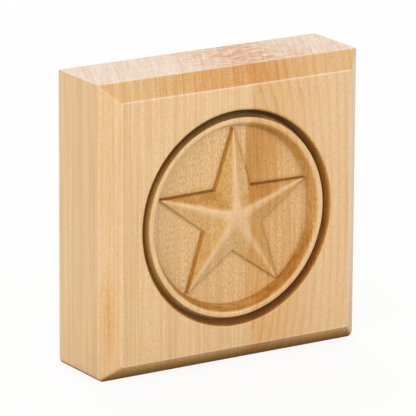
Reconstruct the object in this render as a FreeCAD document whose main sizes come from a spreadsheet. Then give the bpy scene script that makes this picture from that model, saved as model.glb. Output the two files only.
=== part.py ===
"""Corner rosette block: a square trim block with a chamfered front, a turned ring and a raised star.

Lengths are millimetres. X runs right, Z runs up from the bottom edge and the carved face looks to -Y.
The middle of the thickness lies on the XZ plane.
"""
import FreeCAD
import Part
import os

import Sketcher

# Every size of the block, each written once
SIZES = {
    "block_width": 114.3,
    "block_height": 114.3,
    "block_thickness": 34.9,
    "chamfer_leg": 6.5,
    "bottom_corner_radius": 2.3,
    "face_corner_radius": 0.8,
    "edge_ease": 0.4,
    "ring_radius": 42.1,
    "groove_outer_run": 2.0,
    "groove_floor_width": 0.6,
    "groove_inner_run": 0.75,
    "groove_depth": 3.9,
    "groove_round_over": 1.2,
    "bead_width": 2.65,
    "bead_depth": 0.25,
    "bead_bevel": 0.4,
    "bead_inner_round": 1.3,
    "bead_inner_run": 1.4,
    "field_depth": 4.85,
    "star_clearance": 0.8,
    "star_vertex_radius": 13.4,
    "star_tip_width": 0.24,
    "star_wall": 1.4,
    "shoulder_tip_radius": 12.6,
    "shoulder_ridge_width": 2.8,
    "shoulder_drop": 0.55,
    "crown_tip_radius": 5.2,
    "crown_ridge_width": 1.5,
    "cut_clearance": 2.0,
}
STAR_POINTS = 5
STEP = 360 / STAR_POINTS

# Radii of the ring's circles, each stepped in from the one outside it
MOUTH_RADIUS = "sizes.ring_radius"
FLOOR_OUTER_RADIUS = f"({MOUTH_RADIUS} - sizes.groove_outer_run)"
FLOOR_INNER_RADIUS = f"({FLOOR_OUTER_RADIUS} - sizes.groove_floor_width)"
BEAD_OUTER_RADIUS = f"({FLOOR_INNER_RADIUS} - sizes.groove_inner_run)"
BEAD_INNER_RADIUS = f"({BEAD_OUTER_RADIUS} - sizes.bead_width)"
FIELD_RADIUS = f"({BEAD_INNER_RADIUS} - sizes.bead_inner_run)"
STAR_TIP_RADIUS = f"({FIELD_RADIUS} - sizes.star_clearance)"

# Levels out from the middle of the thickness
BACK = "-sizes.block_thickness / 2"
FACE = "(sizes.block_thickness / 2)"
CHAMFER_FOOT = f"({FACE} - sizes.chamfer_leg)"
FIELD = f"({FACE} - sizes.field_depth)"

document = FreeCAD.newDocument("rosette")
sheet = document.addObject("Spreadsheet::Sheet", "sizes")
for row, (size_name, size_value) in enumerate(SIZES.items(), start=1):
    sheet.set(f"A{row}", size_name)
    sheet.set(f"B{row}", str(size_value))
    sheet.setAlias(f"B{row}", size_name)
document.recompute()

body = document.addObject("PartDesign::Body", "rosette_block")


def bind(target, path, formula):
    """Tie one property of an object to a formula on the sheet."""
    target.setExpression(path, formula)


def new_sketch(name, plane_role, right="0", up="0", out="0"):
    """Start a sketch on an origin plane, shifted in its own right, up and outward directions."""
    sketch = body.newObject("Sketcher::SketchObject", name)
    plane = next(item for item in body.Origin.OriginFeatures if item.Role == plane_role)
    sketch.AttachmentSupport = [(plane, "")]
    sketch.MapMode = "FlatFace"
    bind(sketch, "AttachmentOffset.Base.x", right)
    bind(sketch, "AttachmentOffset.Base.y", up)
    bind(sketch, "AttachmentOffset.Base.z", out)
    document.recompute()
    return sketch


def number(sketch, formula):
    """Work out a formula on the sheet as a plain number."""
    result = sketch.evalExpression(formula)
    return float(getattr(result, "Value", result))


def dimension(sketch, name, formula, *constraint):
    """Add one named dimension to a sketch and tie it to a formula."""
    index = sketch.addConstraint(Sketcher.Constraint(*constraint, number(sketch, formula)))
    sketch.renameConstraint(index, name)
    bind(sketch, f"Constraints.{name}", formula)


def pin(sketch, name, geometry, end, corner):
    """Fix one end of a line at a corner given as two formulas."""
    dimension(sketch, f"{name}_across", corner[0], "DistanceX", geometry, end)
    dimension(sketch, f"{name}_along", corner[1], "DistanceY", geometry, end)


def corner_vector(sketch, corner):
    """Turn a corner given as two formulas into a point."""
    return FreeCAD.Vector(number(sketch, corner[0]), number(sketch, corner[1]), 0)


def draw_outline(sketch, corners, arcs=None):
    """Draw a closed outline through corners.

    Args:
        sketch: The sketch to draw in.
        corners: Pairs of formulas, in order round the outline.
        arcs: Radius formula and centre corner for each stretch that is an arc, keyed by the
            number of the corner it starts from. Every arc turns anticlockwise.
    """
    arcs = arcs or {}
    points = [corner_vector(sketch, corner) for corner in corners]
    count = len(points)
    for index in range(count):
        start = points[index]
        finish = points[(index + 1) % count]
        if index in arcs:
            centre = corner_vector(sketch, arcs[index][1])
            first = (start - centre).getAngle(FreeCAD.Vector(1, 0, 0))
            last = (finish - centre).getAngle(FreeCAD.Vector(1, 0, 0))
            if start.y < centre.y:
                first = -first
            if finish.y < centre.y:
                last = -last
            circle = Part.Circle(centre, FreeCAD.Vector(0, 0, 1), (start - centre).Length)
            sketch.addGeometry(Part.ArcOfCircle(circle, first, last))
        else:
            sketch.addGeometry(Part.LineSegment(start, finish))
    for index in range(count):
        sketch.addConstraint(Sketcher.Constraint("Coincident", index, 2, (index + 1) % count, 1))
    for index, corner in enumerate(corners):
        pin(sketch, f"corner_{index}", index, 1, corner)
    for index, (radius, _centre) in arcs.items():
        dimension(sketch, f"radius_{index}", radius, "Radius", index)
    document.recompute()


def block_outline(name, inset, corner_radius, out):
    """Draw the block's front-view outline, set in from its edges, with its two lower corners rounded."""
    sketch = new_sketch(name, "XZ_Plane", out=out)
    right = f"sizes.block_width / 2 - {inset}"
    left = f"-({right})"
    bottom = inset
    top = f"sizes.block_height - {inset}"
    corners = [
        (f"{left} + {corner_radius}", bottom),
        (f"{right} - {corner_radius}", bottom),
        (right, f"{bottom} + {corner_radius}"),
        (right, top),
        (left, top),
        (left, f"{bottom} + {corner_radius}"),
    ]
    rise = f"{bottom} + {corner_radius}"
    arcs = {
        1: (corner_radius, (f"{right} - {corner_radius}", rise)),
        5: (corner_radius, (f"{left} + {corner_radius}", rise)),
    }
    draw_outline(sketch, corners, arcs)
    return sketch


def turned(radius, angle):
    """Give the corner at a radius and angle about the sketch's own centre."""
    return (f"{radius} * cos({angle})", f"{radius} * sin({angle})")


def star_outline(name, tip, ridge_width, out):
    """Draw a five-pointed star with slightly rounded tips, similar to the star's foot."""
    sketch = new_sketch(name, "XZ_Plane", up="sizes.block_height / 2", out=out)
    half = STEP / 2
    vertex = f"({tip} * sizes.star_vertex_radius / {STAR_TIP_RADIUS})"
    run = f"({tip} - {vertex} * cos({half}))"
    rise = f"({vertex} * sin({half}))"
    lean = f"atan({rise} / {run})"
    half_width = f"({ridge_width} / 2)"
    near_tip = f"({tip} - {half_width} * {run} / {rise})"
    reach = f"sqrt(({near_tip})^2 + ({half_width})^2)"
    spread = f"atan({half_width} / {near_tip})"
    radius = f"{half_width} / cos({lean})"
    centre_radius = f"({near_tip} - {half_width} * tan({lean}))"
    corners = []
    arcs = {}
    for point in range(STAR_POINTS):
        heading = 90 + STEP * point
        arcs[len(corners)] = (radius, turned(centre_radius, heading))
        corners.append(turned(reach, f"({heading} deg - {spread})"))
        corners.append(turned(reach, f"({heading} deg + {spread})"))
        corners.append(turned(vertex, heading + half))
    draw_outline(sketch, corners, arcs)
    return sketch


def near(value, target):
    """Tell whether two lengths agree to a hundredth of a millimetre."""
    return abs(value - target) < 0.01


def edges_where(feature, test):
    """Name the edges of a feature that pass a test."""
    edges = feature.Shape.Edges
    return [f"Edge{number}" for number, edge in enumerate(edges, start=1) if test(edge)]


def round_edges(name, base, test, size):
    """Round the edges of a feature that pass a test."""
    rounding = body.newObject("PartDesign::Fillet", name)
    rounding.Base = (base, edges_where(base, test))
    bind(rounding, "Radius", f"sizes.{size}")
    document.recompute()
    return rounding


# Square slab with a chamfered front
back_outline = block_outline("BackOutline", "0", "sizes.bottom_corner_radius", BACK)
slab = body.newObject("PartDesign::Pad", "Slab")
slab.Profile = back_outline
bind(slab, "Length", "sizes.block_thickness - sizes.chamfer_leg")
document.recompute()

chamfer_foot = block_outline("ChamferFoot", "0", "sizes.bottom_corner_radius", CHAMFER_FOOT)
face_outline = block_outline("FaceOutline", "sizes.chamfer_leg", "sizes.face_corner_radius", FACE)
chamfer = body.newObject("PartDesign::AdditiveLoft", "ChamferedFront")
chamfer.Profile = chamfer_foot
chamfer.Sections = [face_outline]
chamfer.Ruled = True
document.recompute()

# Turned ring: a narrow groove, a bead and a sunk field, swept round the middle of the face
ring_profile = new_sketch("RingProfile", "XY_Plane", up=f"-{FACE}", out="sizes.block_height / 2")
ring_corners = [
    ("0", "-sizes.cut_clearance"),
    (MOUTH_RADIUS, "-sizes.cut_clearance"),
    (MOUTH_RADIUS, "0"),
    (FLOOR_OUTER_RADIUS, "sizes.groove_depth"),
    (FLOOR_INNER_RADIUS, "sizes.groove_depth"),
    (BEAD_OUTER_RADIUS, "sizes.bead_depth + sizes.bead_bevel"),
    (f"({BEAD_OUTER_RADIUS} - sizes.bead_bevel)", "sizes.bead_depth"),
    (BEAD_INNER_RADIUS, "sizes.bead_depth"),
    (FIELD_RADIUS, "sizes.field_depth"),
    ("0", "sizes.field_depth"),
]
draw_outline(ring_profile, ring_corners)
ring = body.newObject("PartDesign::Groove", "TurnedRing")
ring.Profile = ring_profile
ring.ReferenceAxis = (ring_profile, ["V_Axis"])
ring.Angle = 360
document.recompute()

# Raised star: low upright walls, facets rising to five ridges, and a crown level with the face
star_foot = star_outline("StarFoot", STAR_TIP_RADIUS, "sizes.star_tip_width", FIELD)
walls = body.newObject("PartDesign::Pad", "StarWalls")
walls.Profile = star_foot
bind(walls, "Length", "sizes.star_wall")
document.recompute()

facet_foot = star_outline("FacetFoot", STAR_TIP_RADIUS, "sizes.star_tip_width",
                          f"{FIELD} + sizes.star_wall")
shoulder = star_outline("StarShoulder", "sizes.shoulder_tip_radius", "sizes.shoulder_ridge_width",
                        f"{FACE} - sizes.shoulder_drop")
crown = star_outline("StarCrown", "sizes.crown_tip_radius", "sizes.crown_ridge_width", FACE)
facets = body.newObject("PartDesign::AdditiveLoft", "StarFacets")
facets.Profile = facet_foot
facets.Sections = [shoulder, crown]
facets.Ruled = True
document.recompute()

# Rounded edges of the ring
face_level = -number(ring_profile, FACE)


def ring_circle(radius, depth):
    """Give a test for the ring's circular edges at a radius and a depth below the face."""
    wanted_radius = number(ring_profile, radius)
    wanted_level = face_level + number(ring_profile, depth)

    def test(edge):
        """Tell whether an edge is the wanted circle."""
        curve = edge.Curve
        if not isinstance(curve, Part.Circle):
            return False
        return near(curve.Radius, wanted_radius) and near(curve.Center.y, wanted_level)
    return test


mouth_circle = ring_circle(MOUTH_RADIUS, "0")
mouth = round_edges("GrooveRoundOver", facets, mouth_circle, "groove_round_over")
bead_inner_circle = ring_circle(BEAD_INNER_RADIUS, "sizes.bead_depth")
bead_inner = round_edges("BeadInnerRound", mouth, bead_inner_circle, "bead_inner_round")


# Eased outer edges: round the face, round the foot of the chamfer and round the back
def outer_edge(edge):
    """Tell whether an edge lies round the face, round the chamfer's foot or round the back."""
    box = edge.BoundBox
    if box.YLength > 0.01:
        return False
    side = max(abs(box.XMin), abs(box.XMax))
    leg = number(ring_profile, "sizes.chamfer_leg")
    half_width = number(ring_profile, "sizes.block_width / 2")
    height = number(ring_profile, "sizes.block_height")
    level = box.YMin
    if near(level, face_level):
        low = near(box.ZMin, leg)
        high = near(box.ZMax, height - leg)
        return low or high or near(side, half_width - leg)
    if near(level, face_level + leg) or near(level, -face_level):
        low = near(box.ZMin, 0)
        high = near(box.ZMax, height)
        return low or high or near(side, half_width)
    return False


eased = round_edges("EasedEdges", bead_inner, outer_edge, "edge_ease")
body.Tip = eased
document.recompute()

# Nothing is written unless every feature built soundly
for item in document.Objects:
    troubled = [word for word in item.State if word in ("Invalid", "Error")]
    if troubled:
        raise RuntimeError(f"{item.Name} did not build: {troubled}")
if body.Shape.isNull() or not body.Shape.isValid():
    raise RuntimeError("the block's shape is not sound")
if len(body.Shape.Solids) != 1:
    raise RuntimeError("the block is not one solid")

os.makedirs("parts", exist_ok=True)
body.Shape.exportStep("parts/rosette_block.step")
print("volume", round(body.Shape.Volume, 1))
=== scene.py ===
"""Looks of a corner rosette block: a square block of hard maple with a turned ring and a carved star.

The block is one mesh, swept by a node tree from a list of rings. It wears one wood finish and stands
in a plain white studio. Sizes are millimetres until a mesh, a tree or a lamp takes them in metres.
"""
import logging
import math
from dataclasses import dataclass, field
from enum import Enum
from typing import Any, Optional, Union

import bpy
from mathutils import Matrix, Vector


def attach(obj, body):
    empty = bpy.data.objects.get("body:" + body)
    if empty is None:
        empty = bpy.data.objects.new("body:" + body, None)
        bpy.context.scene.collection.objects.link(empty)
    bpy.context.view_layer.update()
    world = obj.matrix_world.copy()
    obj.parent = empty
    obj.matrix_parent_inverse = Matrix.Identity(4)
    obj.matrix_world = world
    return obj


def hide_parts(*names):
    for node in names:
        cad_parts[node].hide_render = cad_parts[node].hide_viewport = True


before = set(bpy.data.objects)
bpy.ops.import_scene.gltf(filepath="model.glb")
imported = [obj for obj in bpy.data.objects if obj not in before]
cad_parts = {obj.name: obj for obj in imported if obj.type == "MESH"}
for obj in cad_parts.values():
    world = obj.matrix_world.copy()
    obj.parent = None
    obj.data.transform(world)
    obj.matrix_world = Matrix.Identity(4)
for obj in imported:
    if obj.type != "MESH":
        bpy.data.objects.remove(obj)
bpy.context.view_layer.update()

MM = 0.001
LOG = logging.getLogger("rosette_block")

Tree = bpy.types.NodeTree
Node = bpy.types.Node
Socket = bpy.types.NodeSocket
Colour = tuple[float, float, float, float]
Triple = tuple[float, float, float]
Span = tuple[float, float]
Spans = tuple[Span, Span]
WHITE: Colour = (1.0, 1.0, 1.0, 1.0)


class Outline(Enum):
    """Outline that a ring of the mesh follows: its place in the ring's reach."""

    STAR = 0
    ROUND = 1
    SQUARE = 2


class Lamp(Enum):
    """Lamps of the studio: name, place in metres, size in metres and power in watts."""

    KEY = ("key_softbox", (0.7, -1.25, 0.4), 1.2, 13.6)
    FILL = ("fill_softbox", (-1.4, -0.55, 0.45), 1.6, 22.4)
    TOP = ("top_softbox", (0.25, 0.9, 1.15), 1.0, 9.0)


def linear(hex_colour: str) -> Colour:
    """Turn an sRGB hex colour into linear red, green, blue and alpha.

    Args:
        hex_colour: Six hex digits, as in "d9b98c".

    Returns:
        The colour as a shader socket takes it.
    """
    channels = []
    for start in (0, 2, 4):
        value = int(hex_colour[start:start + 2], 16) / 255
        low = value <= 0.04045
        channels.append(value / 12.92 if low else ((value + 0.055) / 1.055) ** 2.4)
    return (channels[0], channels[1], channels[2], 1.0)


def add(tree: Tree, kind: str, inputs: Optional[dict[Union[int, str], Any]] = None,
        **settings: Any) -> Node:
    """Add one node with its settings and links.

    Args:
        tree: The tree that the node goes in.
        kind: The node's type name.
        inputs: A value, a socket or a node for each input, keyed by name or by place among the
            inputs in use. A node stands for its first output in use.
        settings: The node's own properties.

    Returns:
        The new node.
    """
    node = tree.nodes.new(kind)
    for name, value in settings.items():
        setattr(node, name, value)
    for key, value in (inputs or {}).items():
        in_use = [socket for socket in node.inputs if socket.enabled]
        socket = in_use[key] if isinstance(key, int) else node.inputs[key]
        if isinstance(value, Node):
            value = next(output for output in value.outputs if output.enabled)
        if isinstance(value, Socket):
            tree.links.new(value, socket)
        else:
            socket.default_value = value
    return node


def calc(tree: Tree, operation: str, *values: Any) -> Node:
    """Add a node that works out one sum from the given values."""
    return add(tree, "ShaderNodeMath", dict(enumerate(values)), operation=operation)


def vector(tree: Tree, operation: str, *values: Any) -> Node:
    """Add a node that works out one vector sum from the given values."""
    return add(tree, "ShaderNodeVectorMath", dict(enumerate(values)), operation=operation)


def ramp(tree: Tree, value: Any, span: tuple[Any, Any] = (0.0, 1.0),
         out: tuple[Any, Any] = (0.0, 1.0), smooth: bool = False) -> Node:
    """Add a node that takes a value from one span to another, held and perhaps eased at both ends."""
    return add(tree, "ShaderNodeMapRange", {0: value, 1: span[0], 2: span[1], 3: out[0], 4: out[1]},
               interpolation_type="SMOOTHSTEP" if smooth else "LINEAR")


def mix(tree: Tree, share: Any, first: Any, second: Any, kind: str = "RGBA",
        **settings: Any) -> Node:
    """Add a node that goes from the first value to the second as the share goes from 0 to 1."""
    return add(tree, "ShaderNodeMix", {0: share, 1: first, 2: second}, data_type=kind, **settings)


def split(tree: Tree, value: Any) -> list[Socket]:
    """Add a node that splits a vector into its three parts."""
    return list(add(tree, "ShaderNodeSeparateXYZ", {0: value}).outputs)


def cleared(owner: Union[bpy.types.Material, bpy.types.World]) -> Tree:
    """Switch a material or a world to nodes and clear its tree."""
    owner.use_nodes = True
    owner.node_tree.nodes.clear()
    return owner.node_tree


def placed(name: str, data: bpy.types.ID) -> bpy.types.Object:
    """Put a new object with the given data in the scene."""
    made = bpy.data.objects.new(name, data)
    bpy.context.scene.collection.objects.link(made)
    return made


def rounded_path(corners: list[Triple], support: float, steps: int) -> list[Span]:
    """Follow a section through its corners and round each one.

    Args:
        corners: Reach, depth and radius at each corner. The first and last are plain ends.
        support: How far past each arc a further point lies, to hold the flat beside it.
        steps: Chords in each arc.

    Returns:
        Reach and depth of each point along the section.
    """
    places = [Vector(corner[:2]) for corner in corners]
    path = [tuple(places[0])]
    for before, corner, after, (_, _, radius) in zip(places, places[1:], places[2:], corners[1:]):
        to_before = (before - corner).normalized()
        to_after = (after - corner).normalized()
        half_angle = to_before.angle(to_after) / 2
        run = radius / math.tan(half_angle)
        centre = corner + (to_before + to_after).normalized() * (radius / math.sin(half_angle))
        first = corner + to_before * run - centre
        last = corner + to_after * run - centre
        sweep = first.angle(last)
        path.append(tuple(corner + to_before * (run + support)))
        for step in range(steps + 1):
            share = step / steps
            blend = first * math.sin((1 - share) * sweep) + last * math.sin(share * sweep)
            path.append(tuple(centre + blend / math.sin(sweep)))
        path.append(tuple(corner + to_after * (run + support)))
    path.append(tuple(places[-1]))
    return path


@dataclass(frozen=True)
class Station:
    """One ring of the swept mesh.

    Attributes:
        reach: Share of the star's outline, radius of a round and half width of a square, added up.
        depth: Depth below the face.
        facet: How far the ring follows the star's facets instead of its own depth.
        corner: Radius of the square's two lower corners.
        pooled_and_shade: How much finish has gathered there, and how much painted shade falls there,
            from 0 to 1.
        worn_and_highlight: How much the edge there is rubbed pale, with a painted highlight, from 0 to
            1.
        routed: How much of the surface there was left by a cutter in the recess, from 0 to 1.
    """

    reach: Triple
    depth: float
    facet: float = 0.0
    corner: float = 0.0
    pooled_and_shade: float = 0.0
    worn_and_highlight: float = 0.0
    routed: float = 0.0


@dataclass(frozen=True)
class CarvedStar:
    """Raised five-pointed star with low walls, two facets to each arm and a soft crown.

    Attributes:
        brink_rings: Steps back from the edge, in top eases, and finish gathered there with painted
            shade.
        ease_rings: Steps back and down over the edge, in top eases, and finish gathered there with
            painted shade.
        foot_rings: Steps out and up at the foot, in foot eases, and finish gathered there with painted
            shade.
        crown_share: Share of the star inside which the crown is sanded clean.
        shares: Shares of the star's outline that have a ring.
        first_arm: Share of a full turn at which the first arm points.
        spill_start: Steps out, in foot eases, past which the spill counts.
        spill: How far left a wall faces, and the share of gathered finish and painted shade that stays
            at its foot.
        ridge_spared: What a ridge adds to the cutter's mark, as a share of the mark.
        ridge_worn: What that change adds to the wear and painted highlight, as a share of the change.
    """

    points: int = 5
    tip_radius: float = 33.9
    vertex_radius: float = 13.4
    wall: float = 1.4
    apex: float = 5.33
    crown: float = 4.85
    crown_softness: float = 2.4
    crown_blend: float = 4.5
    ridge_softness: float = 2.0
    ridge_crispness: float = 0.05
    ridge_rub: float = 0.5
    valley_softness: float = 0.25
    top_ease: float = 0.2
    foot_ease: float = 0.35
    brink_rings: tuple[Span, ...] = ((1.8, 0.03), (1.0, 0.1))
    ease_rings: tuple[Triple, ...] = ((0.3, 0.3, 0.1), (0.0, 1.0, 0.03))
    foot_rings: tuple[Triple, ...] = (
        (0.25, 0.6, 0.1), (0.6, 0.15, 0.65), (1.0, 0.0, 0.6),
        (2.5, 0.0, 0.45), (4.5, 0.0, 0.25), (6.5, 0.0, 0.0))
    crown_share: float = 0.16
    shares: tuple[float, ...] = (
        0.0, 0.008, 0.018, 0.03, 0.045, 0.06, 0.08, 0.1, 0.12, 0.145, 0.17, 0.2, 0.23, 0.26, 0.3, 0.34,
        0.38, 0.42, 0.47, 0.52, 0.57, 0.62, 0.67, 0.72, 0.77, 0.82, 0.87, 0.91, 0.945)
    first_arm: float = 0.25
    spill_start: float = 0.5
    spill: Spans = ((-0.7, 0.7), (1.3, 0.0))
    ridge_spared: float = -0.85
    ridge_worn: float = -0.3

    @property
    def edge_heading(self) -> float:
        """Angle from an arm's middle line to the normal of its edge, in radians."""
        half = math.pi / self.points
        run = self.tip_radius - self.vertex_radius * math.cos(half)
        return math.atan2(run, self.vertex_radius * math.sin(half))

    @property
    def edge_distance(self) -> float:
        """Distance from the middle of the star to the line of each edge."""
        return self.tip_radius * math.cos(self.edge_heading)

    def stations(self, field_depth: float) -> list[Station]:
        """List the rings from the crown down the facets and the wall to the field.

        Args:
            field_depth: Depth of the field below the face.

        Returns:
            The rings, from the middle outwards.
        """
        ease = self.top_ease / self.edge_distance
        foot = self.foot_ease / self.edge_distance
        brink = field_depth - self.wall
        rings = []
        for share in self.shares:
            routed = min(1.0, max(0.0, (share - self.crown_share) / self.crown_share))
            rings.append(Station((share, 0, 0), 0, facet=1, routed=routed))
        for back, pooled_and_shade in self.brink_rings:
            rings.append(Station((1 - back * ease, 0, 0), 0, facet=1, pooled_and_shade=pooled_and_shade, routed=1))
        for back, down, pooled_and_shade in self.ease_rings:
            rings.append(Station((1 - back * ease, 0, 0), brink + down * self.top_ease,
                                 pooled_and_shade=pooled_and_shade, routed=1))
        for out, up, pooled_and_shade in self.foot_rings:
            rings.append(Station((1 + out * foot, 0, 0), field_depth - up * self.foot_ease,
                                 pooled_and_shade=pooled_and_shade, routed=1))
        return rings


@dataclass(frozen=True)
class TurnedRing:
    """Ring turned into the face: a sunk field, a bead and a narrow groove with a rounded lip.

    Attributes:
        field_shares: Shares of the way from the star's foot to the rim that have a ring.
        slack: How far a point may be from a radius or depth and still count as there.
        routed_fade: Depth below the bead where the cutter's mark starts, and its run to full.
        pooled_fade: Depth below the face where gathered finish and painted shade start, and their run
            to full.
        mouth_routed: How much faster the cutter's mark grows in the mouth.
        bead_routed: Share of the cutter's mark on the bead's outer side.
        bead_pooled: Share of that mark that counts as gathered finish and painted shade.
    """

    field_radius: float = 34.7
    field_depth: float = 4.85
    field_cove: float = 0.45
    bead_inner_radius: float = 36.1
    bead_outer_radius: float = 38.6
    bead_depth: float = 0.25
    bead_inner_round: float = 1.8
    bead_outer_round: float = 0.5
    floor_inner_radius: float = 39.55
    floor_outer_radius: float = 40.05
    groove_depth: float = 3.5
    floor_round: float = 0.2
    mouth_radius: float = 41.65
    mouth_round: float = 1.2
    field_shares: tuple[float, ...] = (0.15, 0.4, 0.7)
    arc_support: float = 0.08
    arc_steps: int = 5
    slack: float = 0.1
    routed_fade: Span = (0.05, 0.4)
    pooled_fade: Span = (0.02, 0.7)
    mouth_routed: float = 8.0
    bead_routed: float = 0.3
    bead_pooled: float = 0.5

    @property
    def rim(self) -> float:
        """Radius at which the flat field ends."""
        return self.field_radius - 2 * self.field_cove / 3

    def stations(self, foot_share: float) -> list[Station]:
        """List the rings from the star's foot across the field, over the bead and out of the groove.

        Args:
            foot_share: Share of the star's outline at which the field starts.

        Returns:
            The rings, from the middle outwards.
        """
        rim = self.rim
        rings = []
        for share in self.field_shares:
            reach = (foot_share * (1 - share), rim * share, 0)
            rings.append(Station(reach, self.field_depth, routed=1))
        corners = [
            (rim, self.field_depth, 0),
            (self.field_radius, self.field_depth, self.field_cove),
            (self.bead_inner_radius, self.bead_depth, self.bead_inner_round),
            (self.bead_outer_radius, self.bead_depth, self.bead_outer_round),
            (self.floor_inner_radius, self.groove_depth, self.floor_round),
            (self.floor_outer_radius, self.groove_depth, self.floor_round),
            (self.mouth_radius, 0, self.mouth_round),
            (self.mouth_radius + 2 * self.mouth_round, 0, 0),
        ]
        for radius, depth in rounded_path(corners, self.arc_support, self.arc_steps):
            start, run = self.routed_fade
            routed = min(1.0, max(0.0, depth - self.bead_depth - start) / run)
            pooled_and_shade = 0.0
            if radius > self.floor_outer_radius - self.slack:
                start, run = self.pooled_fade
                pooled_and_shade = min(1.0, max(0.0, depth - start) / run)
                routed = min(1.0, self.mouth_routed * pooled_and_shade)
            elif radius > self.bead_outer_radius - self.slack:
                routed *= self.bead_routed
                pooled_and_shade = self.bead_pooled * routed
                if depth > self.groove_depth - self.slack:
                    pooled_and_shade = 1.0
            rings.append(Station((0, radius, 0), depth, pooled_and_shade=pooled_and_shade, routed=routed))
        return rings


@dataclass(frozen=True)
class ChamferedSlab:
    """Square slab with a chamfer round its face and its two lower corners rounded.

    Attributes:
        upper_corner: Radius of an upper corner, as a share of a lower one's.
        face_shares: Shares of the way from the mouth to the face's edge that have a ring.
        face_margin: How far inside that edge the section starts, in edge rounds.
        back_turn: Share of the back's half width at which the section ends.
        back_shares: Shares of that half width that have a ring.
        worn_reach: How far an edge is rubbed pale, with a painted highlight, in edge rounds.
    """

    width: float = 114.3
    thickness: float = 34.9
    chamfer: float = 6.5
    edge_round: float = 0.55
    back_round: float = 0.4
    lower_corner: float = 2.3
    face_corner: float = 0.8
    upper_corner: float = 0.15
    face_shares: tuple[float, ...] = (0.25, 0.55, 0.85)
    face_margin: float = 3.0
    back_shares: tuple[float, ...] = (0.8, 0.5, 0.2, 0.02, 0.0)
    back_turn: float = 0.95
    arc_support: float = 0.25
    arc_steps: int = 4
    worn_reach: float = 0.5

    def stations(self, mouth: float) -> list[Station]:
        """List the rings across the face, down the chamfer and the sides and over the back.

        Args:
            mouth: Radius at which the flat face starts.

        Returns:
            The rings, from the face to the middle of the back.
        """
        half = self.width / 2
        face = half - self.chamfer
        inner = face - self.face_margin * self.edge_round
        rings = []
        for share in self.face_shares:
            rings.append(Station((0, mouth * (1 - share), inner * share), 0))
        corners = [
            (inner, 0, 0),
            (face, 0, self.edge_round),
            (half, self.chamfer, self.edge_round),
            (half, self.thickness, self.back_round),
            (half * self.back_turn, self.thickness, 0),
        ]
        edges = ((face, 0), (half, self.chamfer))
        for reach, depth in rounded_path(corners, self.arc_support, self.arc_steps):
            share = min(1.0, depth / self.chamfer)
            corner = self.face_corner + (self.lower_corner - self.face_corner) * share
            from_edge = min(math.dist((reach, depth), edge) for edge in edges)
            worn_and_highlight = 1.0 if from_edge < self.worn_reach * self.edge_round else 0.0
            rings.append(Station((0, 0, reach), depth, corner=corner, worn_and_highlight=worn_and_highlight))
        for share in self.back_shares:
            corner = self.lower_corner * share
            rings.append(Station((0, 0, half * share), self.thickness, corner=corner))
        return rings


@dataclass(frozen=True)
class Patch:
    """Oval patch of the wood: its middle, half its size along each axis and its value in the middle."""

    middle: Triple
    size: Triple
    most: float


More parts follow.
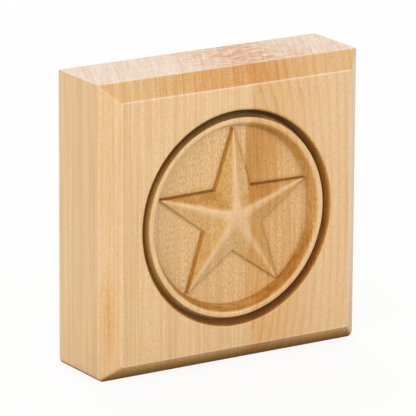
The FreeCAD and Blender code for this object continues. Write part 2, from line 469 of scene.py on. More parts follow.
@dataclass(frozen=True)
class HardMaple:
    """Hard maple, planed, routed and sanded, under a clear satin lacquer.

    To the eye it is a pale cream wood with fine upright lines and small flecks. The blank is glued up
    from two staves, and the right one is warmer beside the glue line, with bowed growth lines. Where a
    cut crosses the grain the wood soaks up lacquer and looks darker and more orange, most of all where
    the cutter's surfaces face up in the recess; the extra dark where they face up or left is painted
    shade. Lacquer gathers in the groove and at the star's foot, where painted shade darkens it too, and
    painted shade darkens the lower chamfer towards the foot. Rubbed edges and ridges are pale, with a
    painted highlight. The left chamfer has a flame figure. The sawn top is paler, partly from painted
    sheen, with streaks both ways. Lines and flecks are drawn coarser than in life, to show at all.

    A name that ends in span or height has the start and end of a value that counts from 0 to 1. Two
    pairs are start and end, and what they become. Other pairs are for the left stave and the right.
    """

    name: str = "hard_maple_sanded_satin_lacquer"
    pale: str = "e0bf92"
    tan: str = "d0a776"
    warm_pale: str = "dcbc92"
    warm_tan: str = "d3a367"
    growth_line: str = "c5823a"
    fleck: str = "ca9d57"
    warm_fleck: str = "c59851"
    # Partly painted sheen of the sawn top
    end_pale_and_sheen: str = "f0dfcb"
    end_tan: str = "d2a680"
    end_soaked: str = "f0cb9b"
    # Stain of soaked lacquer and of painted shade
    soak_and_shade: str = "d2b365"
    # Dark of gathered finish and of painted shade
    pooled_and_shade: str = "332603"
    # Pale of rubbed wear and of painted highlight
    worn_and_highlight: str = "f6e4cc"
    ior: float = 1.5
    seam_span: Span = (6.28, 6.52)
    warm_span: Span = (6.4, 42.4)
    line_size: Triple = (0.8, 20.0, 70.0)
    band_size: Triple = (9.0, 30.0, 120.0)
    fleck_size: Triple = (0.45, 0.45, 1.3)
    curl_size: Triple = (6.0, 1.8, 3.0)
    saw_size: Triple = (16.0, 0.7, 16.0)
    noise_roughness: float = 0.6
    growth_spacing: float = 3.4
    growth_sway: float = 6.0
    growth_middle: float = 50.0
    growth_bow: Span = (0.003, 0.0006)
    cut_patch: Patch = Patch((-3.0, -14.0, 111.0), (36.0, 30.0, 30.0), 0.58)
    sawn_patch: Patch = Patch((14.0, -2.0, 114.3), (28.0, 60.0, 30.0), 1.25)
    flame_patch: Patch = Patch((-54.6, -13.6, 26.0), (3.2, 3.6, 24.0), 0.4)
    heart_patch: Patch = Patch((11.0, -13.0, 80.0), (14.0, 20.0, 24.0), 0.55)
    patch_span: Span = (0.2, 1.0)
    stave_turn: float = math.radians(-26.6)
    # The staves
    line_weight: float = 3.8
    tone_span: Span = (1.75, 3.05)
    late_span: Span = (0.5, 0.98)
    warmth: Span = (0.74, 0.1)
    tone_warmth: float = 0.3
    faint: Spans = ((0.35, 0.65), (0.25, 0.85))
    fading: Spans = ((0.0, 0.8), (0.35, 1.0))
    # Lacquer in routed wood, with painted shade where it faces up or left
    slope_span: Span = (0.999, 0.95)
    slope_soak: Span = (0.03, 0.15)
    side_soak: Span = (-0.38, 0.1)
    wall_soak: Span = (0.4, 0.0)
    wall_span: Span = (0.5, 0.9)
    climb_soak: Span = (2.3, 1.3)
    # Painted shade on steep faces turned left or up
    lee_shade: Spans = ((-0.3, 0.3), (0.35, 0.0))
    tilt: Spans = ((0.2, 0.6), (0.4, 1.0))
    steep_span: Span = (0.95, 0.6)
    least_soak: float = 0.03
    most_soak: float = 1.05
    # Painted shade: gathered finish shows less on faces turned right or down
    facing_slant: float = -0.6
    clean: Spans = ((-0.3, 0.6), (0.2, 4.0))
    pooled_soak: float = 0.85
    # Flecks, bared lines and ends
    bare_span: Span = (0.47, 0.58)
    bare_share: Span = (0.12, 0.45)
    fleck_span: Span = (0.49, 0.57)
    fleck_share: Span = (0.34, 1.0)
    end_span: Span = (0.85, 0.97)
    saw_weight: float = 0.7
    streak_span: Span = (0.55, 1.15)
    cut_span: Span = (0.1, 0.65)
    cut_least: float = 0.2
    curly: Spans = ((0.3, 0.7), (0.65, 1.35))
    strokes: Spans = ((0.75, 1.25), (0.55, 1.45))
    wild: Spans = ((0.42, 0.62), (0.0, 1.6))
    # Painted shade on the lower chamfer, at the foot and in the groove; wear with a painted highlight
    lower_span: Span = (-0.3, -0.6)
    shade: Spans = ((0.5, 6.5), (1.1, 0.15))
    # Painted contact shadow at the foot
    foot_shadow: Spans = ((0.0, 5.0), (0.62, 0.0))
    # Painted shade in the groove: darker further right and higher up, lighter where it faces left, and
    # under the lip where it faces up
    swept: Spans = ((-41.0, -24.0), (0.15, 0.55))
    groove_shade_height: Span = (35.0, 95.0)
    groove_shade_high: float = 0.95
    ledge_span: Span = (-0.95, -0.45)
    left_facing_shade: float = 0.17
    deep_span: Span = (0.7, 1.0)
    upward_span: Span = (0.4, 1.0)
    # Painted highlight on rubbed edges, strongest where they do not face left
    rub_and_highlight: Spans = ((-0.6, -0.1), (0.05, 0.26))
    rough: Spans = ((0.3, 0.7), (0.29, 0.41))
    dull: Spans = ((0.1, 1.2), (0.0, 0.5))
    relief_strength: float = 0.3
    relief_depth: float = 0.03

    def noise(self, tree: Tree, place: Node, scale: Triple,
              turn: float = 0.0, detail: float = 2.0) -> Socket:
        """Add a noise stretched to the given sizes.

        Args:
            tree: The material's tree.
            place: The place on the block in millimetres.
            scale: Size of the noise along each axis in millimetres.
            turn: Turn of the pattern about the upright axis in radians.
            detail: Octaves of finer noise.

        Returns:
            The noise, about 0.5 in the middle.
        """
        at = add(tree, "ShaderNodeMapping", {0: place, "Rotation": (0, 0, turn), "Scale": scale},
                 vector_type="TEXTURE")
        return add(tree, "ShaderNodeTexNoise", {
            "Vector": at, "Scale": 1.0, "Detail": detail,
            "Roughness": self.noise_roughness}).outputs[0]

    def oval(self, tree: Tree, place: Node, patch: Patch) -> Node:
        """Fade an oval patch of the wood in and out, with 0 outside it."""
        off = add(tree, "ShaderNodeMapping", {0: place, "Location": patch.middle, "Scale": patch.size},
                  vector_type="TEXTURE")
        off = vector(tree, "LENGTH", off).outputs["Value"]
        return ramp(tree, off, self.patch_span, (patch.most, 0.0))

    def staves(self, tree: Tree, place: Node, side: Node, lines: Socket) -> Node:
        """Colour the two staves, before any lacquer.

        Args:
            tree: The material's tree.
            place: The place on the block in millimetres.
            side: 0 in the left stave and 1 in the right one.
            lines: Noise of the fine upright lines.

        Returns:
            The wood's colour.
        """
        across, through, up = split(tree, place)
        bands = self.noise(tree, place, self.band_size, self.stave_turn)
        mixed = calc(tree, "MULTIPLY_ADD", lines, self.line_weight, bands)
        tone = ramp(tree, mixed, self.tone_span)
        left = mix(tree, tone, linear(self.pale), linear(self.tan))
        # Right stave: warmer beside the glue line, with bowed growth lines
        rise = calc(tree, "SUBTRACT", up, self.growth_middle)
        squared = calc(tree, "MULTIPLY", rise, rise)
        bow = ramp(tree, across, self.warm_span, self.growth_bow)
        bowed = calc(tree, "MULTIPLY_ADD", squared, bow, across)
        slanted = calc(tree, "MULTIPLY_ADD", through, math.tan(self.stave_turn), bowed)
        swayed = calc(tree, "MULTIPLY_ADD", bands, self.growth_sway, slanted)
        cycle = calc(tree, "DIVIDE", swayed, self.growth_spacing)
        phase = calc(tree, "FRACT", cycle)
        late = ramp(tree, phase, self.late_span, smooth=True)
        warmth = ramp(tree, across, self.warm_span, self.warmth, smooth=True)
        warmed = calc(tree, "MULTIPLY_ADD", tone, self.tone_warmth, warmth)
        right = mix(tree, warmed, linear(self.warm_pale), linear(self.warm_tan))
        faint = ramp(tree, lines, *self.faint)
        fading = ramp(tree, warmth, *self.fading)
        faint = calc(tree, "MULTIPLY", faint, fading)
        lined = calc(tree, "MULTIPLY", late, faint)
        right = mix(tree, lined, right, linear(self.growth_line))
        return mix(tree, side, left, right)

    def soak_with_shade(self, tree: Tree, side: Node, facing: list[Socket]) -> Node:
        """Work out how much lacquer a routed surface soaks up, with painted shade where it faces up or
        left: 1 is a slope of the star that faces up.

        Args:
            tree: The material's tree.
            side: 0 in the left stave and 1 in the right one.
            facing: The surface's direction along each axis.

        Returns:
            The amount.
        """
        level = calc(tree, "ABSOLUTE", facing[1])
        # Left stave: most where it faces up, and more on the left of each arm, partly painted shade.
        # Right stave: more even
        sloped = ramp(tree, level, self.slope_span)
        even = ramp(tree, side, out=self.slope_soak)
        start = calc(tree, "MULTIPLY_ADD", sloped, even, self.least_soak)
        sideways = ramp(tree, side, out=self.side_soak)
        wall = ramp(tree, side, out=self.wall_soak)
        sideways = ramp(tree, level, self.wall_span, (wall, sideways))
        leftward = calc(tree, "MULTIPLY_ADD", facing[0], sideways, start)
        climb = ramp(tree, side, out=self.climb_soak)
        upward = calc(tree, "MAXIMUM", facing[2], 0.0)
        slope = calc(tree, "MULTIPLY_ADD", upward, climb, leftward)
        # Painted shade on steep surfaces that face left or up
        away = calc(tree, "SUBTRACT", facing[0], facing[2])
        lee_shade = ramp(tree, away, *self.lee_shade)
        tilt = calc(tree, "ABSOLUTE", facing[2])
        tilt = ramp(tree, tilt, *self.tilt)
        lee_shade = calc(tree, "MULTIPLY", lee_shade, tilt)
        steep = ramp(tree, level, self.steep_span, (0.0, lee_shade))
        slope = calc(tree, "ADD", slope, steep)
        return add(tree, "ShaderNodeClamp", {0: slope, 1: self.least_soak, 2: self.most_soak})

    def material(self) -> bpy.types.Material:
        """Build the wood as a node material."""
        made = bpy.data.materials.new(self.name)
        tree = cleared(made)
        spot = add(tree, "ShaderNodeTexCoord").outputs
        place = vector(tree, "SCALE", spot["Object"], 1 / MM)
        across, _, up = split(tree, place)
        facing = split(tree, spot["Normal"])
        finish = add(tree, "ShaderNodeAttribute", attribute_name="finish_wear").outputs["Vector"]
        pooled_and_shade, worn_and_highlight, routed = split(tree, finish)
        side = ramp(tree, across, self.seam_span)
        lines = self.noise(tree, place, self.line_size, self.stave_turn, detail=4.0)
        specks = self.noise(tree, place, self.fleck_size, detail=1.0)
        wood = self.staves(tree, place, side, lines)

        # Flecks, and lines that show more where the cutter laid them bare
        bare_share = ramp(tree, side, out=self.bare_share)
        bared = ramp(tree, lines, self.bare_span, (0.0, bare_share))
        bared = calc(tree, "MULTIPLY", bared, routed)
        wood = mix(tree, bared, wood, linear(self.growth_line))
        fleck_share = ramp(tree, routed, out=self.fleck_share)
        flecked = ramp(tree, specks, self.fleck_span, (0.0, fleck_share))
        fleck = mix(tree, side, linear(self.fleck), linear(self.warm_fleck))
        wood = mix(tree, flecked, wood, fleck)

        # Sawn ends, streaked along the growth and along the saw, their pale tone partly painted sheen
        tilt = calc(tree, "ABSOLUTE", facing[2])
        end = ramp(tree, tilt, self.end_span)
        sawn = self.noise(tree, place, self.saw_size, detail=3.0)
        streaks = calc(tree, "MULTIPLY_ADD", sawn, self.saw_weight, lines)
        streaked = ramp(tree, streaks, self.streak_span)
        sawn_wood = mix(tree, streaked, linear(self.end_pale_and_sheen), linear(self.end_tan))
        wood = mix(tree, end, wood, sawn_wood)

        # Lacquer: the cut end drinks it in strokes, the sawn end in curls, the left chamfer in a flame
        strokes = calc(tree, "ADD", lines, specks)
        strokes = ramp(tree, strokes, *self.strokes)
        heart = self.oval(tree, place, self.cut_patch)
        heart = calc(tree, "ADD", heart, self.cut_least)
        cut_end = ramp(tree, facing[2], self.cut_span, (0.0, heart))
        cut_end = calc(tree, "MULTIPLY", cut_end, strokes)
        curls = self.noise(tree, place, self.curl_size, detail=4.0)
        wild = ramp(tree, curls, *self.wild)
        sawn_heart = self.oval(tree, place, self.sawn_patch)
        sawn_heart = calc(tree, "MULTIPLY", sawn_heart, wild)
        ends = mix(tree, end, cut_end, sawn_heart, "FLOAT")
        flame = self.oval(tree, place, self.flame_patch)
        flame = calc(tree, "MULTIPLY", flame, strokes)
        ends = calc(tree, "ADD", ends, flame)
        ends = mix(tree, routed, ends, 0.0, "FLOAT")
        stain = add(tree, "ShaderNodeGamma", {"Color": linear(self.end_soaked), "Gamma": ends})
        wood = mix(tree, 1.0, wood, stain, blend_type="MULTIPLY")

        # Routed wood drinks by the way it faces, with painted shade where it faces up or left, and more
        # in the dark heart of the right stave
        curly = ramp(tree, curls, *self.curly)
        soak_and_shade = self.soak_with_shade(tree, side, facing)
        soak_and_shade = calc(tree, "MULTIPLY", soak_and_shade, curly)
        dark = self.oval(tree, place, self.heart_patch)
        soak_and_shade = calc(tree, "MULTIPLY_ADD", dark, side, soak_and_shade)
        soak_and_shade = calc(tree, "MULTIPLY", soak_and_shade, routed)
        # Gathered finish and painted shade show less on surfaces facing right or down
        away = calc(tree, "MULTIPLY_ADD", facing[2], self.facing_slant, facing[0])
        clean = ramp(tree, away, *self.clean)
        stain_and_shade = calc(tree, "POWER", pooled_and_shade, clean)
        soak_and_shade = calc(tree, "MULTIPLY_ADD", stain_and_shade, self.pooled_soak, soak_and_shade)
        # The lower chamfer darkens towards the foot: painted contact shade, added to the soak
        lower = ramp(tree, facing[2], self.lower_span)
        lower = mix(tree, routed, lower, 0.0, "FLOAT")
        shaded = ramp(tree, up, *self.shade)
        soak_and_shade = calc(tree, "MULTIPLY_ADD", lower, shaded, soak_and_shade)
        stain = add(tree, "ShaderNodeGamma", {"Color": linear(self.soak_and_shade), "Gamma": soak_and_shade})
        wood = mix(tree, 1.0, wood, stain, blend_type="MULTIPLY")

        # Painted shade and gathered lacquer in the groove, painted shadow along the foot, and edges
        # rubbed pale with a painted highlight
        # Painted shade in the groove: darker further right and higher up, lighter where it faces left
        swept = ramp(tree, across, *self.swept)
        groove_shade = ramp(tree, up, self.groove_shade_height, (swept, self.groove_shade_high))
        ledge = ramp(tree, facing[0], self.ledge_span, (self.left_facing_shade, groove_shade))
        pooled_dark_and_shade = ramp(tree, pooled_and_shade, self.deep_span)
        pooled_dark_and_shade = calc(tree, "MULTIPLY", pooled_dark_and_shade, ledge)
        # Painted shadow under the lip, on surfaces in the groove that face up
        upward = ramp(tree, facing[2], self.upward_span, (0.0, groove_shade))
        upward = calc(tree, "MULTIPLY", stain_and_shade, upward)
        pooled_dark_and_shade = calc(tree, "MAXIMUM", pooled_dark_and_shade, upward)
        # Painted contact shadow on the lower chamfer near the foot
        foot_shadowed = ramp(tree, up, *self.foot_shadow)
        foot_shadowed = calc(tree, "MULTIPLY", foot_shadowed, lower)
        pooled_dark_and_shade = calc(tree, "MAXIMUM", pooled_dark_and_shade, foot_shadowed)
        # Mixes in the dark of gathered finish and painted shade
        wood = mix(tree, pooled_dark_and_shade, wood, linear(self.pooled_and_shade))
        # Painted highlight on rubbed edges, strongest where they do not face left
        rub_and_highlight = ramp(tree, facing[0], *self.rub_and_highlight)
        rubbed_and_highlight = calc(tree, "MULTIPLY", worn_and_highlight, rub_and_highlight)
        wood = mix(tree, rubbed_and_highlight, wood, linear(self.worn_and_highlight))

        rough = ramp(tree, lines, *self.rough)
        dull = ramp(tree, soak_and_shade, *self.dull)
        rough = calc(tree, "ADD", rough, dull)
        relief = add(tree, "ShaderNodeBump", {
            "Height": lines, "Strength": self.relief_strength, "Distance": self.relief_depth * MM})
        surface = add(tree, "ShaderNodeBsdfPrincipled", {
            "Base Color": wood, "Roughness": rough, "IOR": self.ior, "Normal": relief})
        add(tree, "ShaderNodeOutputMaterial", {"Surface": surface})
        return made


@dataclass
class RosetteBlock:
    """The whole block: the star, the ring and the slab as one swept mesh.

    Attributes:
        star: The carved star.
        ring: The turned ring.
        slab: The chamfered slab.
        finish: The wood and its lacquer.
        columns: Points round each ring. Arms, valleys and corners all fall on a point.
    """

    star: CarvedStar = field(default_factory=CarvedStar)
    ring: TurnedRing = field(default_factory=TurnedRing)
    slab: ChamferedSlab = field(default_factory=ChamferedSlab)
    finish: HardMaple = field(default_factory=HardMaple)
    columns: int = 720
    name: str = "maple_block"
    crease: float = math.radians(50)
    weld: float = 0.0005

    def stations(self) -> list[Station]:
        """List every ring of the block, from the star's crown to the middle of the back."""
        rings = self.star.stations(self.ring.field_depth)
        rings += self.ring.stations(rings[-1].reach[Outline.STAR.value])
        rings += self.slab.stations(rings[-1].reach[Outline.ROUND.value])
        return rings

    def station_mesh(self) -> bpy.types.Mesh:
        """Write the rings as points with attributes, for the tree to sweep."""
        rings = self.stations()
        mesh = bpy.data.meshes.new(f"{self.name}_stations")
        mesh.from_pydata([(0, 0, number * MM) for number in range(len(rings))], [], [])
        reach = [(ring.reach[0], ring.reach[1] * MM, ring.reach[2] * MM) for ring in rings]
        level = [(ring.depth * MM, ring.facet, ring.corner * MM) for ring in rings]
        wear = [(ring.pooled_and_shade, ring.worn_and_highlight, ring.routed) for ring in rings]
        for title, rows in (("reach", reach), ("level", level), ("wear", wear)):
            layer = mesh.attributes.new(title, "FLOAT_VECTOR", "POINT")
            layer.data.foreach_set("vector", [value for row in rows for value in row])
        return mesh

    def tree_values(self) -> dict[str, tuple[str, Any]]:
        """Name the tree's inputs, each with its socket type and value."""
        star = self.star
        rise = (star.apex - star.wall) / star.edge_distance
        number, length = "NodeSocketInt", "NodeSocketFloat"
        return {
            "Columns": (number, self.columns),
            "Star points": (number, star.points),
            "Edge distance": (length, star.edge_distance * MM),
            "Edge heading": (length, star.edge_heading),
            "Facet rise": (length, rise),
            "Wall height": (length, star.wall * MM),
            "Crown rise": (length, (star.crown - star.wall) * MM),
            "Crown softness": (length, star.crown_softness * MM),
            "Ridge softness": (length, star.ridge_softness * MM),
            "Ridge crispness": (length, star.ridge_crispness * MM),
            "Valley softness": (length, star.valley_softness * MM),
            "Crown blend": (length, star.crown_blend * MM),
            "Vertex radius": (length, star.vertex_radius * MM),
            "Ridge rub": (length, star.ridge_rub * MM),
            "Tip radius": (length, star.tip_radius * MM),
            "Foot share": (length, 1 + star.spill_start * star.foot_ease / star.edge_distance),
            "Rim radius": (length, self.ring.rim * MM),
            "Field depth": (length, self.ring.field_depth * MM),
            "Face level": (length, -self.slab.thickness / 2 * MM),
            "Middle height": (length, self.slab.width / 2 * MM),
            "Crease": (length, self.crease),
            "Weld distance": (length, self.weld * MM),
            "Wood": ("NodeSocketMaterial", self.finish.material()),
        }

    def sweep_tree(self, values: dict[str, tuple[str, Any]]) -> tuple[Tree, dict[str, str]]:
        """Build the tree that sweeps the rings into the block.

        Args:
            values: The tree's inputs, each with its socket type and value.

        Returns:
            The tree, and each input's identifier by name.
        """
        tree = bpy.data.node_groups.new("block_swept_from_rings", "GeometryNodeTree")
        tree.interface.new_socket("Rings", in_out="INPUT", socket_type="NodeSocketGeometry")
        keys = {}
        for title, (kind, _) in values.items():
            keys[title] = tree.interface.new_socket(title, in_out="INPUT", socket_type=kind).identifier
        tree.interface.new_socket("Block", in_out="OUTPUT", socket_type="NodeSocketGeometry")
        given = add(tree, "NodeGroupInput").outputs

        # A sheet of points, one column for each heading and one row for each ring
        rows = add(tree, "GeometryNodeAttributeDomainSize", {0: given["Rings"]}, component="MESH")
        count = rows.outputs["Point Count"]
        lap = add(tree, "FunctionNodeIntegerMath", {0: given["Columns"], 1: 1}, operation="ADD")
        sheet = add(tree, "GeometryNodeMeshGrid", {"Vertices X": lap, "Vertices Y": count})
        index = add(tree, "GeometryNodeInputIndex")
        row = add(tree, "FunctionNodeIntegerMath", {0: index, 1: count}, operation="MODULO")
        column = add(tree, "FunctionNodeIntegerMath", {0: index, 1: count}, operation="DIVIDE_FLOOR")
        turn = calc(tree, "DIVIDE", column, given["Columns"])
        heading = calc(tree, "MULTIPLY", turn, math.tau)
        cosine = calc(tree, "COSINE", heading)
        sine = calc(tree, "SINE", heading)
        sampled = {}
        for title in ("reach", "level", "wear"):
            layer = add(tree, "GeometryNodeInputNamedAttribute", {"Name": title},
                        data_type="FLOAT_VECTOR")
            sampled[title] = add(tree, "GeometryNodeSampleIndex", {
                "Geometry": given["Rings"], "Value": layer, "Index": row}, data_type="FLOAT_VECTOR")
        star_share, _, half = split(tree, sampled["reach"])
        depth, facet, corner = split(tree, sampled["level"])

        # Which arm a heading belongs to, and how far it lies from that arm's middle line
        quarter = calc(tree, "MULTIPLY", given["Star points"], -self.star.first_arm)
        sector = calc(tree, "MULTIPLY_ADD", turn, given["Star points"], quarter)
        arm = calc(tree, "ROUND", sector)
        off = calc(tree, "SUBTRACT", sector, arm)
        span = calc(tree, "DIVIDE", math.tau, given["Star points"])
        aside = calc(tree, "ABSOLUTE", off)
        lean = calc(tree, "MULTIPLY", aside, span)

        # Reach along the heading: the star's edge, the round and the square, added up
        to_edge = calc(tree, "SUBTRACT", lean, given["Edge heading"])
        edge_cosine = calc(tree, "COSINE", to_edge)
        star_reach = calc(tree, "DIVIDE", given["Edge distance"], edge_cosine)
        wide = calc(tree, "ABSOLUTE", cosine)
        tall = calc(tree, "ABSOLUTE", sine)
        larger = calc(tree, "MAXIMUM", wide, tall)
        square_reach = calc(tree, "DIVIDE", 1.0, larger)
        reaches = add(tree, "ShaderNodeCombineXYZ", {0: star_reach, 1: 1.0, 2: square_reach})
        radius = vector(tree, "DOT_PRODUCT", sampled["reach"], reaches).outputs["Value"]
        starred = calc(tree, "GREATER_THAN", star_share, 0.0)
        limit = mix(tree, starred, 1.0, given["Rim radius"], "FLOAT")
        radius = calc(tree, "MINIMUM", radius, limit)

        # Heights of the arm's own two facets and of the nearest facet of the next arm
        from_far = calc(tree, "ADD", lean, given["Edge heading"])
        from_next = calc(tree, "SUBTRACT", from_far, span)
        rises = []
        for turned in (to_edge, from_far, from_next):
            along = calc(tree, "COSINE", turned)
            outward = calc(tree, "MULTIPLY", along, radius)
            inside = calc(tree, "SUBTRACT", given["Edge distance"], outward)
            rises.append(calc(tree, "MULTIPLY", inside, given["Facet rise"]))
        softness = ramp(tree, radius, (0.0, given["Tip radius"]),
                        (given["Ridge softness"], given["Ridge crispness"]))
        ridge = calc(tree, "SMOOTH_MIN", rises[0], rises[1], softness)
        apart = calc(tree, "SUBTRACT", rises[1], rises[0])
        sanded = calc(tree, "ADD", softness, given["Ridge rub"])
        rub_and_highlight = ramp(tree, apart, (0.0, sanded), (facet, 0.0), smooth=True)
        blend = ramp(tree, radius, (0.0, given["Vertex radius"]),
                     (given["Crown blend"], given["Valley softness"]))
        valley = calc(tree, "SMOOTH_MAX", ridge, rises[2], blend)
        crowned = calc(tree, "SMOOTH_MIN", valley, given["Crown rise"], given["Crown softness"])
        height = calc(tree, "ADD", crowned, given["Wall height"])
        carved = calc(tree, "SUBTRACT", given["Field depth"], height)
        sunk = mix(tree, facet, depth, carved, "FLOAT")
        level = calc(tree, "ADD", given["Face level"], sunk)

        # Rounded lower corners, and upper ones that are only just eased
        x = calc(tree, "MULTIPLY", radius, cosine)
        z = calc(tree, "MULTIPLY", radius, sine)
        is_low = calc(tree, "LESS_THAN", z, 0.0)
        share = ramp(tree, is_low, out=(self.slab.upper_corner, 1.0))
        curve = calc(tree, "MULTIPLY", corner, share)
        core = calc(tree, "SUBTRACT", half, curve)
        spread = add(tree, "ShaderNodeCombineXYZ", {0: x, 2: z})
        folded = vector(tree, "ABSOLUTE", spread)
        cores = add(tree, "ShaderNodeCombineXYZ", {0: core, 2: core})
        beyond = vector(tree, "SUBTRACT", folded, cores)
        beyond_x, _, beyond_z = split(tree, beyond)
        least = calc(tree, "MINIMUM", beyond_x, beyond_z)
        in_corner = calc(tree, "GREATER_THAN", least, 0.0)
        is_round = calc(tree, "GREATER_THAN", curve, 0.0)
        rounded = calc(tree, "MULTIPLY", in_corner, is_round)
        aim = vector(tree, "NORMALIZE", beyond)
        arc = vector(tree, "SCALE", aim, curve)
        bent = vector(tree, "ADD", cores, arc)
        signs = vector(tree, "SIGN", spread)
        unfolded = vector(tree, "MULTIPLY", bent, signs)
        flat = mix(tree, rounded, spread, unfolded, "VECTOR")
        lift = add(tree, "ShaderNodeCombineXYZ", {1: level, 2: given["Middle height"]})
        spot = vector(tree, "ADD", flat, lift)

        # Points put in place, seam and poles welded, creases kept
        outward = add(tree, "GeometryNodeFlipFaces", {"Mesh": sheet})
        swept = add(tree, "GeometryNodeSetPosition", {"Geometry": outward, "Position": spot})
        pooled_and_shade, worn_and_highlight, cut = split(tree, sampled["wear"])
        # Less gathered finish and painted shade at the star's foot where its wall faces left
        swing = calc(tree, "MULTIPLY", arm, span)
        flank = calc(tree, "SIGN", off)
        toward = calc(tree, "MULTIPLY_ADD", flank, given["Edge heading"], swing)
        leftward = calc(tree, "SINE", toward)
        spill = ramp(tree, leftward, *self.star.spill)
        at_foot = calc(tree, "GREATER_THAN", star_share, given["Foot share"])
        spill = mix(tree, at_foot, 1.0, spill, "FLOAT")
        pooled_and_shade = calc(tree, "MULTIPLY", pooled_and_shade, spill)
        # Ridges lose the cutter's mark and gain wear with a painted highlight
        spared = calc(tree, "MULTIPLY", rub_and_highlight, cut)
        spared = calc(tree, "MULTIPLY", spared, self.star.ridge_spared)
        cut = calc(tree, "ADD", cut, spared)
        worn_and_highlight = calc(tree, "MULTIPLY_ADD", spared, self.star.ridge_worn, worn_and_highlight)
        wear = add(tree, "ShaderNodeCombineXYZ", {0: pooled_and_shade, 1: worn_and_highlight, 2: cut})
        kept = add(tree, "GeometryNodeStoreNamedAttribute", {
            "Geometry": swept, "Name": "finish_wear", "Value": wear},
            data_type="FLOAT_VECTOR", domain="POINT")
        welded = add(tree, "GeometryNodeMergeByDistance", {
            "Geometry": kept, "Distance": given["Weld distance"]})
        smooth = add(tree, "GeometryNodeSetShadeSmooth", {0: welded, "Shade Smooth": True},
                     domain="FACE")
        angle = add(tree, "GeometryNodeInputMeshEdgeAngle").outputs["Unsigned Angle"]
        sharp = calc(tree, "GREATER_THAN", angle, given["Crease"])
        creased = add(tree, "GeometryNodeSetShadeSmooth", {
            0: smooth, "Selection": sharp, "Shade Smooth": False}, domain="EDGE")
        real = add(tree, "GeometryNodeRealizeInstances", {0: creased})
        dressed = add(tree, "GeometryNodeSetMaterial", {"Geometry": real, "Material": given["Wood"]})
        add(tree, "NodeGroupOutput", {0: dressed})
        return tree, keys

    def build(self) -> bpy.types.Object:
        """Sweep the rings, turn the result into a plain mesh and put it in the CAD node's place.

        Returns:
            The finished piece.
        """
        piece = placed(self.name, self.station_mesh())
        values = self.tree_values()
        tree, keys = self.sweep_tree(values)
        sweep = piece.modifiers.new("sweep", "NODES")
        sweep.node_group = tree
        for title, (_, value) in values.items():
            sweep[keys[title]] = value
        bpy.context.view_layer.update()
        graph = bpy.context.evaluated_depsgraph_get()
        mesh = bpy.data.meshes.new_from_object(piece.evaluated_get(graph))
        piece.modifiers.clear()
        piece.data = mesh
        mesh.name = self.name
        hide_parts("rosette_block")
        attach(piece, "root")
        return piece


@dataclass(frozen=True)
class PhotoCamera:
    """Camera at the photograph's viewing angle, looking at a point of the block's front plane."""

    azimuth: float = math.radians(-32.378)
    elevation: float = math.radians(15.584)
    roll: float = math.radians(0.317)
    distance: float = 1624.53
    lens: float = 377.01
    sensor: float = 36.0
    clip_end: float = 20.0
    target: Triple = (-13.12, -17.45, 62.884)

    def build(self) -> None:
        """Add the camera and make it the scene's own."""
        data = bpy.data.cameras.new("photo_camera")
        data.lens = self.lens
        data.sensor_width = self.sensor
        data.clip_end = self.clip_end
        camera = placed("photo_camera", data)
        level = math.cos(self.elevation)
        back = Vector((math.sin(self.azimuth) * level, -math.cos(self.azimuth) * level,
                       math.sin(self.elevation)))
        camera.location = (Vector(self.target) + back * self.distance) * MM
        camera.rotation_euler = back.to_track_quat("Z", "Y").to_euler()
        camera.rotation_euler.rotate_axis("Z", self.roll)
        bpy.context.scene.camera = camera


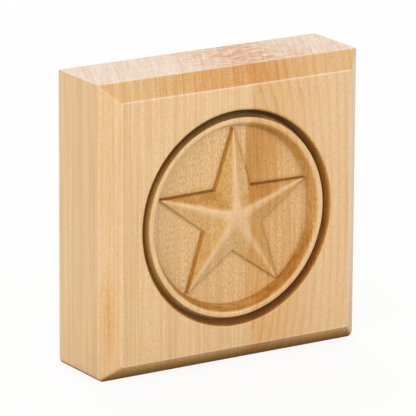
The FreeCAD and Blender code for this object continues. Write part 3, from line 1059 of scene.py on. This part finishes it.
@dataclass(frozen=True)
class Studio:
    """Plain white studio: a pale floor, a white world and soft lamps."""

    floor_size: float = 6.0
    floor_colour: str = "c8c8c8"
    floor_shown: str = "f4f4f4"
    floor_glow: float = 0.9
    shade_span: Span = (0.06, 0.18)
    ambient: float = 0.38
    lamp_target: Triple = (0.0, 0.0, 57.15)

    def build_floor(self) -> None:
        """Lay the floor, white to the camera and to reflections, with the block's shadow kept."""
        mesh = bpy.data.meshes.new("floor")
        half = self.floor_size / 2
        mesh.from_pydata([(-half, -half, 0), (half, -half, 0), (half, half, 0), (-half, half, 0)], [],
                         [(0, 1, 2, 3)])
        floor = placed("floor", mesh)
        made = bpy.data.materials.new("matt_white_paper")
        tree = cleared(made)
        rays = add(tree, "ShaderNodeLightPath").outputs
        spot = add(tree, "ShaderNodeTexCoord").outputs["Object"]
        away = vector(tree, "LENGTH", spot).outputs["Value"]
        open_share = ramp(tree, away, self.shade_span, smooth=True)
        mirrored = calc(tree, "MULTIPLY", rays["Is Glossy Ray"], open_share)
        shown = calc(tree, "MAXIMUM", rays["Is Camera Ray"], mirrored)
        shown = calc(tree, "MAXIMUM", shown, rays["Is Transmission Ray"])
        share = calc(tree, "MULTIPLY", shown, self.floor_glow)
        tone = mix(tree, shown, linear(self.floor_colour), linear(self.floor_shown))
        paper = add(tree, "ShaderNodeBsdfDiffuse", {"Color": tone})
        glow = add(tree, "ShaderNodeEmission", {"Color": WHITE, "Strength": 1.0})
        blend = add(tree, "ShaderNodeMixShader", {0: share, 1: paper, 2: glow})
        add(tree, "ShaderNodeOutputMaterial", {"Surface": blend})
        mesh.materials.append(made)

    def build_world(self) -> None:
        """Make the world white to the camera and to reflections, and softer as a light."""
        world = bpy.data.worlds.new("white_studio")
        tree = cleared(world)
        rays = add(tree, "ShaderNodeLightPath").outputs
        shown = calc(tree, "MAXIMUM", rays["Is Camera Ray"], rays["Is Glossy Ray"])
        shown = calc(tree, "MAXIMUM", shown, rays["Is Transmission Ray"])
        strength = ramp(tree, shown, out=(self.ambient, 1.0))
        white = add(tree, "ShaderNodeBackground", {"Color": WHITE, "Strength": strength})
        add(tree, "ShaderNodeOutputWorld", {"Surface": white})
        bpy.context.scene.world = world

    def build_lamps(self) -> None:
        """Hang the soft lamps, each turned to the middle of the block."""
        middle = Vector(self.lamp_target) * MM
        for lamp in Lamp:
            title, place, size, power = lamp.value
            data = bpy.data.lights.new(title, "AREA")
            data.shape = "DISK"
            data.size = size
            data.energy = power
            light = placed(title, data)
            light.location = place
            light.rotation_euler = (Vector(place) - middle).to_track_quat("Z", "Y").to_euler()

    def build(self) -> None:
        """Set up the floor, the world, the lamps and the colour view."""
        self.build_floor()
        self.build_world()
        self.build_lamps()
        bpy.context.scene.view_settings.view_transform = "Standard"


def main() -> None:
    """Build the block, the camera and the studio."""
    logging.basicConfig(level=logging.INFO, format="%(name)s: %(message)s")
    block = RosetteBlock().build()
    LOG.info("%s: %d points, %d faces", block.name, len(block.data.vertices), len(block.data.polygons))
    PhotoCamera().build()
    Studio().build()


if __name__ == "__main__":
    main()
